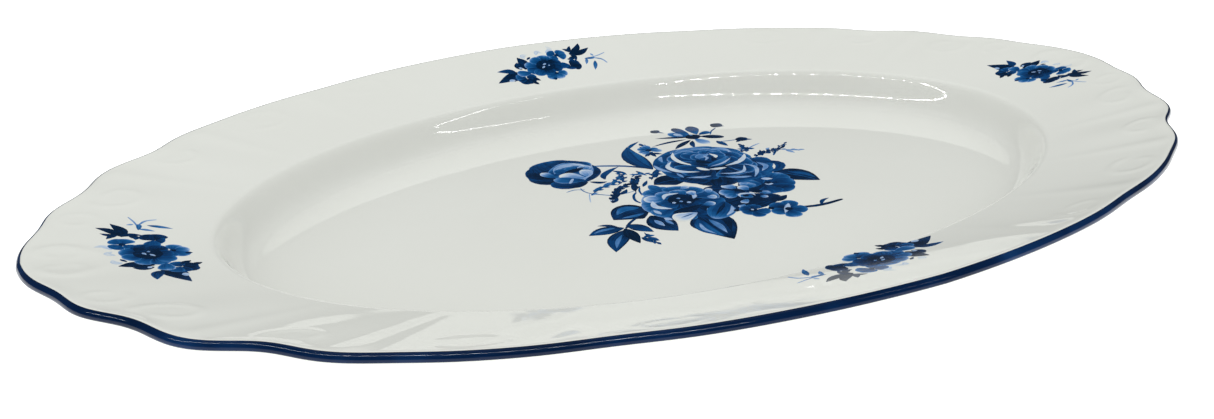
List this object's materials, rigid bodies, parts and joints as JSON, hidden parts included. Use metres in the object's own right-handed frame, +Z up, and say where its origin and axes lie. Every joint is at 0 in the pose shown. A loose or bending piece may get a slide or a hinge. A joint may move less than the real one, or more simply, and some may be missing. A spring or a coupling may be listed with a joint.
{
  "type": "oval serving platter",
  "caption": "Shallow oval china serving platter with a broad scalloped rim, a foot ring, a painted edge line, a flower print in the well and small prints on the rim.",
  "frame": {"origin": "centre of the oval, on the table plane under the foot ring", "axes": "+X along the long axis of the oval, +Y along the short axis, +Z up out of the well"},
  "size_m": [0.3602, 0.2402, 0.0282],
  "materials": {
    "glazed_china": "clear glossy glaze over white china",
    "bare_china": "bare fired china, fine matt",
    "cobalt_line": "cobalt painted line under gloss glaze",
    "cobalt_print": "cobalt transfer print under gloss glaze"
  },
  "bodies": {
    "root": {"platter_body": "glazed_china", "foot_ring": "bare_china", "edge_line": "cobalt_line", "bouquet_print": "cobalt_print", "spray_print_right": "cobalt_print", "spray_print_back": "cobalt_print", "spray_print_left": "cobalt_print", "spray_print_front": "cobalt_print"}
  },
  "joints": []
}
